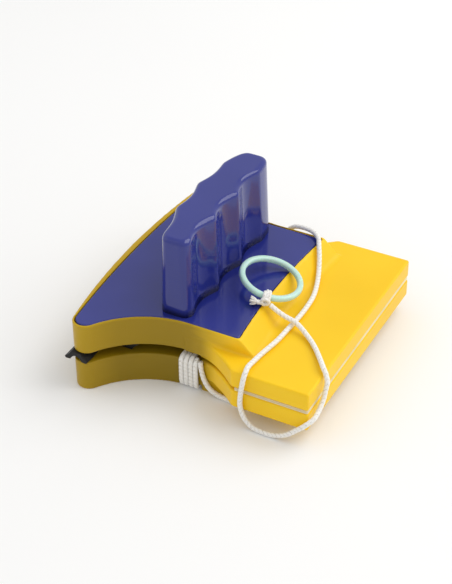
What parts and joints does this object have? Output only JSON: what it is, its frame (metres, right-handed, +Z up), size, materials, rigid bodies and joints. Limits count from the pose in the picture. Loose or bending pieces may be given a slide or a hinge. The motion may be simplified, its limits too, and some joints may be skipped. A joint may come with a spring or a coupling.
{
  "type": "magnetic glass cleaner",
  "caption": "Two-sided magnetic window cleaner: two waisted units face each other through the pane, with a scalloped grip, rubber blades, felt pads and a corded safety ring.",
  "frame": {"origin": "centre of the bounding box in plan, at the surface the lower unit lies on", "axes": "+Z up from the outer unit through the pane gap to the grip, +Y along the wiper wing's length, +X from the wiper edge towards the magnet block"},
  "size_m": [0.1323, 0.146, 0.08],
  "materials": {
    "yellow_plastic": "smooth moulded plastic with a soft gloss",
    "blue_plastic": "high gloss moulded plastic",
    "black_rubber": "matt soft rubber",
    "black_rail": "matt extruded plastic",
    "white_felt": "short dense cleaning felt",
    "steel_plate": "brushed plain steel",
    "screw_zinc": "bright zinc plating",
    "magnet_nickel": "dull nickel plating",
    "mint_plastic": "smooth moulded plastic",
    "white_cord": "braided synthetic cord"
  },
  "bodies": {
    "outer_unit": {"outer_housing": "yellow_plastic", "outer_cover_panel": "blue_plastic", "outer_blade_rail": "black_rail", "outer_wiper_blade": "black_rubber", "outer_felt_pad": "white_felt", "outer_magnet_lid": "yellow_plastic", "outer_yoke_plate": "steel_plate", "outer_magnet_1": "magnet_nickel", "outer_magnet_2": "magnet_nickel", "outer_case_screw_1": "screw_zinc", "outer_case_screw_2": "screw_zinc", "outer_case_screw_3": "screw_zinc", "outer_case_screw_4": "screw_zinc", "tether_winding": "white_cord", "tether_cord_lead": "white_cord"},
    "inner_unit": {"inner_housing": "yellow_plastic", "inner_cover_panel": "blue_plastic", "inner_blade_rail": "black_rail", "inner_wiper_blade": "black_rubber", "inner_felt_pad": "white_felt", "inner_magnet_lid": "yellow_plastic", "inner_yoke_plate": "steel_plate", "inner_magnet_1": "magnet_nickel", "inner_magnet_2": "magnet_nickel", "inner_case_screw_1": "screw_zinc", "inner_case_screw_2": "screw_zinc", "inner_case_screw_3": "screw_zinc", "inner_case_screw_4": "screw_zinc", "grip_handle": "blue_plastic", "grip_screw_1": "screw_zinc", "grip_screw_2": "screw_zinc", "tether_end_knot": "white_cord", "tether_ring_knot": "white_cord", "tether_cord_line": "white_cord"},
    "ring": {"tether_ring": "mint_plastic"}
  },
  "joints": [
    {"name": "unit_separation", "type": "slide", "parent": "outer_unit", "child": "inner_unit", "axis": [0, 0, 1], "range_m": [0, 0.04]},
    {"name": "ring_swing", "type": "hinge", "parent": "inner_unit", "child": "ring", "pos_m": [0.02041, -0.01497, 0.04108], "axis": [0.9199, 0.289, -0.265], "range_deg": [0, 90]}
  ]
}
